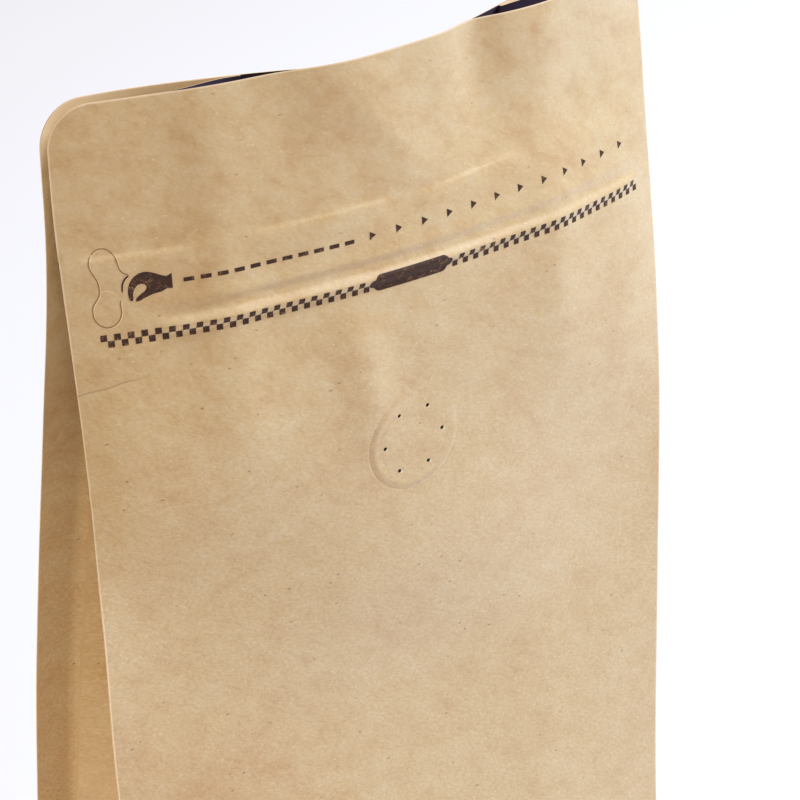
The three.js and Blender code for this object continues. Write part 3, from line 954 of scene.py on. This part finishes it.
def gusset_web(name, node, mirrored):
    """One folded side web; its UV map runs along the web, over the fold."""
    levels = np.array([gusset_level(row, mirrored) for row in GUSSET_H])
    lengths = np.cumsum(np.linalg.norm(np.diff(levels, axis=1), axis=2), axis=1)
    length = np.concatenate([np.zeros((len(levels), 1)), lengths], axis=1)
    piece = grid_piece(
        name,
        levels.shape[1],
        levels.shape[0],
        lambda i, j: levels[j, i],
        lambda i, j: np.stack([length[j, i], GUSSET_H[j]], -1),
        flip=not mirrored,
    )
    thicken(piece, WEB, kraft_side, lining, edge)
    settle(piece)
    return dress(piece, node, "kraft")


gusset_web("left_gusset", "gusset_left", False)
gusset_web("right_gusset", "gusset_right", True)


# ---- bottom web ----
FLANGE = 8 * MM
FLANGE_LEAN = 1.2 * MM
FLANGE_TAPER = 0.93
BOTTOM_CLEAR = 0.2 * MM
BOTTOM_LIFT = 0.04 * MM


def bottom_web():
    """A flat floor with its flanges turned up inside the front and back panels."""
    bm = bmesh.new()
    uv_layer = bm.loops.layers.uv.new("web")
    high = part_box("bottom_web")[1]
    bmesh.ops.create_grid(bm, x_segments=24, y_segments=14, size=1)
    for v in bm.verts:
        v.co.x *= high[0]
        v.co.y *= high[1] - BOTTOM_CLEAR
        v.co.z = BOTTOM_LIFT
    for side in (-1, 1):
        outer = high[1] - 1.5 * BOTTOM_CLEAR
        boundary = [e for e in bm.edges if e.is_boundary]
        rim = [e for e in boundary if all(v.co.y * side > outer for v in e.verts)]
        for v in bmesh.ops.extrude_edge_only(bm, edges=rim)["geom"]:
            if isinstance(v, bmesh.types.BMVert):
                v.co.z += FLANGE
                v.co.y -= side * FLANGE_LEAN
                v.co.x *= FLANGE_TAPER
    bmesh.ops.recalc_face_normals(bm, faces=bm.faces)
    for f in bm.faces:
        f.smooth = False
        for loop in f.loops:
            loop[uv_layer].uv = (loop.vert.co.x * 10, (loop.vert.co.y + loop.vert.co.z) * 10)
    if sum(f.normal.z for f in bm.faces if abs(f.normal.z) > 0.9) > 0:
        bmesh.ops.reverse_faces(bm, faces=bm.faces)
    piece = finish_mesh("bottom", bm)
    thicken(piece, WEB, kraft_side, lining, edge)
    settle(piece)
    return dress(piece, "bottom_web", "kraft")


bottom_web()


# ---- closure strip ----
BEAD_AT = 41.6
BEAD_R = 1.05
BEAD_DEPTH = 1.0
BEAD_SUNK = 0.45
FILM_DEPTH = 0.98
FILM = 0.3


def closure_strip():
    """A clear strip with its bead, sealed behind the front web."""
    us = np.linspace(STRIP_INSET, PANEL_WIDTH - STRIP_INSET, 90)
    hs = steps((31, 40.4, 1.2), (40.4, 42.8, 0.2), (42.8, 46.9, 0.9))
    off_bead = np.abs(hs - BEAD_AT)
    bead = BEAD_DEPTH * np.sqrt(np.clip(1 - (off_bead / BEAD_R) ** 2, 0, 1))
    depth = FILM_DEPTH + bead - BEAD_SUNK * (off_bead < 1.6)
    piece = grid_piece(
        "closure",
        len(us),
        len(hs),
        lambda i, j: front_inside(us[i], hs[j], depth[j]),
        lambda i, j: np.stack([us[i], hs[j]], -1),
        flip=True,
    )
    mod = piece.modifiers.new("film", "SOLIDIFY")
    mod.thickness = FILM * MM
    mod.offset = -1
    settle(piece)
    film = plastic("strip_film", (196, 199, 206), (222, 224, 229), 0.32)
    return dress(piece, "closure_strip", "film", film)


closure_strip()


# ---- valve ----
def valve_body():
    """A turned disc: a thin flange and a raised body, with a shallow recess behind the pinholes."""
    outline = [
        (0, -2.6), (5.6, -2.6), (5.9, -2.9), (6.9, -2.9), (7.4, -2.6), (7.6, -1.6), (7.8, -1.35),
        (9.3, -1.3), (9.6, -1.1), (9.6, -0.85), (9.4, -0.72), (8.6, -0.72), (8.4, -1.9),
        (5.4, -1.9), (5.2, -0.75), (0, -0.75),
    ]
    bm = bmesh.new()
    verts = [bm.verts.new((x * MM, y * MM, 0)) for x, y in outline]
    edges = [bm.edges.new(pair) for pair in zip(verts, verts[1:])]
    bmesh.ops.spin(
        bm,
        geom=verts + edges,
        axis=(0, 1, 0),
        cent=(0, 0, 0),
        angle=2 * math.pi,
        steps=64,
        use_merge=True,
    )
    bmesh.ops.remove_doubles(bm, verts=bm.verts, dist=1e-6)
    bmesh.ops.recalc_face_normals(bm, faces=bm.faces)
    bmesh.ops.transform(bm, matrix=frame_on_front(PANEL_WIDTH / 2, VALVE_H), verts=bm.verts)
    for f in bm.faces:
        f.smooth = True
    piece = finish_mesh("degassing_valve", bm)
    piece.data.set_sharp_from_angle(angle=math.radians(35))
    body = plastic("valve_moulding", (222, 222, 216), (236, 236, 231), 0.5)
    return dress(piece, "valve", "valve_plastic", body)


valve_body()


# ---- print ----
PRINT_LIFT = 0.035
CUT_LIFT = 0.03
# Lift of the painted highlight beside the tab's cut and fold lines.
CUT_HIGHLIGHT_LIFT = 0.02


def slice_up(bm, low, high, step):
    """Cuts flat faces along a net of the given steps, so that they can follow the web."""
    for axis in (0, 1):
        normal = (1, 0, 0) if axis == 0 else (0, 1, 0)
        count = int((high[axis] - low[axis]) / step[axis])
        for k in range(1, count + 1):
            at = [0, 0, 0]
            at[axis] = low[axis] + k * step[axis]
            whole = list(bm.verts) + list(bm.edges) + list(bm.faces)
            bmesh.ops.bisect_plane(bm, geom=whole, dist=1e-5, plane_co=at, plane_no=normal)


def lay_on_front(bm, uv_layer, lift):
    """Takes flat (u, -h) shapes onto the front web."""
    corners = list(bm.verts)
    u = np.array([v.co.x for v in corners])
    h = np.array([-v.co.y for v in corners])
    points = front_inside(u, h, -front_relief(u, h) - lift) * MM
    for f in bm.faces:
        f.smooth = True
        for loop in f.loops:
            loop[uv_layer].uv = (loop.vert.co.x / 100, -loop.vert.co.y / 100)
    for v, p in zip(corners, points):
        v.co = p


def flat_face(bm, outline):
    """One face round the outline, turned to face out."""
    face = bm.faces.new([bm.verts.new((u, -h, 0)) for u, h in outline])
    face.normal_update()
    if face.normal.z < 0:
        face.normal_flip()
    return face


def print_piece(name, shapes, step=None):
    """Printed shapes, each given by its (u, h) corners, laid on the front web."""
    bm = bmesh.new()
    uv_layer = bm.loops.layers.uv.new("web")
    faces = [flat_face(bm, outline) for outline in shapes]
    if step:
        bmesh.ops.triangulate(bm, faces=faces)
        low = [min(v.co[a] for v in bm.verts) for a in (0, 1)]
        high = [max(v.co[a] for v in bm.verts) for a in (0, 1)]
        slice_up(bm, low, high, step)
    lay_on_front(bm, uv_layer, PRINT_LIFT)
    return dress(finish_mesh(name, bm), None, "kraft", print_ink)


def smooth_path(points, per=6):
    """A rounded line through the given (u, h) points, with so many steps from one to the next."""
    pts = [Vector(p) for p in points]
    out = []
    for k in range(len(pts) - 1):
        b, c = pts[k], pts[k + 1]
        a = pts[k - 1] if k else b * 2 - c
        d = pts[k + 2] if k + 2 < len(pts) else c * 2 - b
        for m in range(per):
            t = m / per
            q = b * 2 + (c - a) * t + (a * 2 - b * 5 + c * 4 - d) * t**2
            out.append((q + (b * 3 - a - c * 3 + d) * t**3) / 2)
    return out + [pts[-1]]


def ribbon(name, paths, width, lift, material, shift=(0, 0)):
    """Thin lines along paths on the front web; their ends taper out."""
    bm = bmesh.new()
    uv_layer = bm.loops.layers.uv.new("web")
    for path in paths:
        rows = []
        for k, point in enumerate(path):
            way = (path[min(k + 1, len(path) - 1)] - path[max(k - 1, 0)]).normalized()
            half = width / 2 * (0.25 if k in (0, len(path) - 1) else 1)
            off = Vector((-way.y, way.x)) * half
            middle = point + Vector(shift)
            rows.append([bm.verts.new((q.x, -q.y, 0)) for q in (middle - off, middle + off)])
        for (a, b), (c, d) in zip(rows, rows[1:]):
            bm.faces.new((a, b, d, c))
    bm.normal_update()
    bmesh.ops.reverse_faces(bm, faces=[f for f in bm.faces if f.normal.z < 0])
    lay_on_front(bm, uv_layer, lift)
    return dress(finish_mesh(name, bm), None, "kraft", material)


SQUARE = 1.22
ROW_AT = 43.97
FIRST_SQUARE = 6.13
SQUARE_PITCH = PANEL_WIDTH / 53.6
LAST_SQUARE = 128.6
BADGE_GAP = (58.4, 77.2)
WHOLE_ROW = 200  # wider than any row, so that a print is sliced along it alone


def oblong(u, h, width, height):
    """The corners of an oblong around (u, h)."""
    a, b = width / 2, height / 2
    return [(u - a, h - b), (u + a, h - b), (u + a, h + b), (u - a, h + b)]


squares = []
for k in range(50):
    for du, dh in ((0, 0), (SQUARE_PITCH / 2, SQUARE)):
        u = FIRST_SQUARE + k * SQUARE_PITCH + du
        if u <= BADGE_GAP[0] or BADGE_GAP[1] <= u <= LAST_SQUARE:
            squares.append(oblong(u, ROW_AT + dh, SQUARE, SQUARE))
print_piece("checker_print", squares, (WHOLE_ROW, 0.31))

ARROWS = 12
ARROW_PITCH = 5.856
FIRST_ARROW = 59.94
ARROW_AT = 34.9
arrows = []
for k in range(ARROWS):
    u = FIRST_ARROW + k * ARROW_PITCH
    arrows.append([(u - 0.6, ARROW_AT - 0.85), (u + 0.75, ARROW_AT), (u - 0.6, ARROW_AT + 0.85)])
print_piece("arrow_print", arrows)

DASHES = 11
DASH_PITCH = 3.2
FIRST_DASH = 23.0
DASH_AT = 35.15
print_piece(
    "dash_print",
    [oblong(FIRST_DASH + k * DASH_PITCH, DASH_AT, 2.0, 0.8) for k in range(DASHES)],
)


def badge(middle_u, middle_h, half_length, half_height):
    """A long badge with stepped round ends."""
    knob = half_height * 0.5
    round_end = half_height * 0.85
    knob_at = half_length - knob
    arc = [math.pi / 2 - math.pi / 3 * k / 5 for k in range(6)]
    nose = [math.pi / 2 - math.pi * k / 8 for k in range(9)]
    shoulder = [
        (knob_at - round_end + round_end * math.cos(a), half_height * math.sin(a)) for a in arc
    ]
    tip = [(knob_at + knob * math.cos(a), knob * math.sin(a)) for a in nose]
    half = shoulder + tip + [(x, -y) for x, y in reversed(shoulder)]
    return [(middle_u + side * x, middle_h - side * y) for side in (1, -1) for x, y in half]


BADGE_AT = (67.7, 44.35)
BADGE_HALF = (9.4, 1.75)
print_piece("badge_print", [badge(*BADGE_AT, *BADGE_HALF)], (0.9, 0.27))

# A pinching hand: bent finger, thumb, palm and cuff.
hand = smooth_path(
    [
        (18.9, 33.9), (17.7, 33.4), (16.3, 32.7), (14.8, 32.4), (13.4, 32.8), (12.3, 33.8),
        (11.7, 35.2), (11.6, 36.6), (11.9, 37.6), (12.4, 37.5), (12.5, 36.4), (12.9, 35.4),
        (13.7, 34.7), (14.6, 34.7), (15.1, 35.3), (14.8, 36.0), (13.9, 36.6), (13.1, 37.2),
        (12.9, 37.8), (13.6, 37.8), (14.9, 37.3), (16.3, 36.9), (17.8, 36.7), (18.8, 36.3),
    ],
    4,
)
cuff = [Vector(p) for p in ((18.9, 36.25), (19.9, 36.4), (19.95, 33.45), (19.0, 33.85))]
print_piece("hand_print", [hand + cuff], (0.8, 0.8))
ribbon(
    "hand_motion_print",
    [smooth_path([(12.1, 32.6), (11.2, 33.4), (10.7, 34.5), (10.6, 35.8)], 5)],
    0.32,
    PRINT_LIFT,
    print_ink,
)

# ---- tear tab, cut half through the web ----
TAB_CUT = [
    (12.0, 32.5), (11.2, 32.1), (10.65, 31.4), (10.35, 30.4), (10.15, 29.2), (9.6, 28.1),
    (8.7, 27.35), (7.8, 27.12), (6.8, 27.3), (5.85, 28.0), (5.25, 29.0), (5.15, 30.1),
    (5.5, 31.2), (6.0, 32.2), (6.4, 33.4), (6.5, 34.7), (6.3, 35.9), (5.6, 36.9),
    (5.0, 37.8), (4.8, 38.8), (4.95, 40.1), (5.6, 41.2), (6.6, 41.9), (7.5, 42.05),
    (8.6, 41.7), (9.5, 40.8), (9.95, 39.7), (10.0, 38.6), (9.95, 37.9), (10.15, 37.3),
]
TAB_FOLD = [(6.5, 35.1), (7.2, 35.0), (8.1, 35.15), (8.8, 35.6)]


def cut_shade(name, low, high):
    """Painted light along the cut line through the kraft, with torn fibres: the cut's shadow or
    highlight.
    """
    b = Book(name)
    fray = b.noise(b.web_uv(), 260, 3, 0.7)
    return b.finish(
        Base_Color=b.mix(fray, rgba(*low), rgba(*high)),
        Roughness=0.8,
        Normal=b.bump(fray, 0.03, 0.6),
    )


cut_dark = cut_shade("cut_shadow", (112, 78, 46), (162, 123, 80))
cut_highlight_paint = cut_shade("cut_highlight", (208, 176, 132), (230, 202, 160))
cut_lines = [smooth_path(TAB_CUT), smooth_path(TAB_FOLD)]
# Painted shadow in the tab's cut line, and beside the cut and the fold line a painted highlight on
# their lit edges.
ribbon("tab_cut", cut_lines[:1], 0.22, CUT_LIFT, cut_dark)
ribbon("tab_cut_highlight", cut_lines, 0.24, CUT_HIGHLIGHT_LIFT, cut_highlight_paint, (0.18, 0.13))

# ---- stage, light and camera ----
CAMERA_AZIMUTH = math.radians(-37.08)
CAMERA_ELEVATION = math.radians(28.75)
CAMERA_DISTANCE = 0.57194
PICTURE_PX = 800
SENSOR_WIDTH = 36
FOCAL_PX = 2879.8
TARGET_ACROSS = 0.009185
TARGET_UP = 0.183917


def stage():
    """The plain pale floor."""
    bm = bmesh.new()
    bmesh.ops.create_grid(bm, x_segments=1, y_segments=1, size=6)
    floor = finish_mesh("floor", bm)
    paint = Book("floor_white").finish(Base_Color=rgba(226, 227, 232), Roughness=0.9)
    floor.data.materials.append(paint)


def lamp(name, location, target, size, power, tint):
    """A soft round lamp, unseen by the camera."""
    data = bpy.data.lights.new(name, "AREA")
    data.shape = "DISK"
    data.size = size
    data.energy = power
    data.color = tint
    made = bpy.data.objects.new(name, data)
    made.location = location
    aim = Vector(target) - Vector(location)
    made.rotation_euler = aim.to_track_quat("-Z", "Y").to_euler()
    made.visible_camera = False
    bpy.context.scene.collection.objects.link(made)


def camera():
    """The photograph's own view of the bag's upper part."""
    back_way = Vector(
        (
            math.sin(CAMERA_AZIMUTH) * math.cos(CAMERA_ELEVATION),
            -math.cos(CAMERA_AZIMUTH) * math.cos(CAMERA_ELEVATION),
            math.sin(CAMERA_ELEVATION),
        )
    )
    right = Vector((math.cos(CAMERA_AZIMUTH), math.sin(CAMERA_AZIMUTH), 0))
    data = bpy.data.cameras.new("camera")
    data.sensor_width = SENSOR_WIDTH
    data.lens = FOCAL_PX / PICTURE_PX * SENSOR_WIDTH
    data.clip_start = 0.01
    made = bpy.data.objects.new("camera", data)
    target = right * TARGET_ACROSS + Vector((0, 0, TARGET_UP))
    made.location = target + back_way * CAMERA_DISTANCE
    made.rotation_euler = (-back_way).to_track_quat("-Z", "Y").to_euler()
    bpy.context.scene.collection.objects.link(made)
    bpy.context.scene.camera = made


stage()
camera()
lamp("right_high", (1.0, -0.45, 1.2), (0, 0, 0.15), 0.35, 26.6, (0.86, 1, 1.16))
lamp("left_high", (-1.1, -0.6, 0.9), (0, 0, 0.15), 0.9, 3.7, (1.16, 1, 0.86))
lamp("left_low", (-0.30, -0.02, 0.05), (-0.06, 0, 0.06), 0.14, 0.16, (1.2, 1, 0.55))
lamp("behind", (0.45, 1.0, 1.1), (0.1, 0.2, 0), 1.0, 2.9, (1.15, 1, 0.87))
world = bpy.data.worlds.new("studio")
world.use_nodes = True
sky = world.node_tree.nodes["Background"].inputs
sky["Color"].default_value = (1, 0.862, 0.742, 1)
sky["Strength"].default_value = 0.48
bpy.context.scene.world = world
bpy.context.scene.view_settings.view_transform = "Standard"
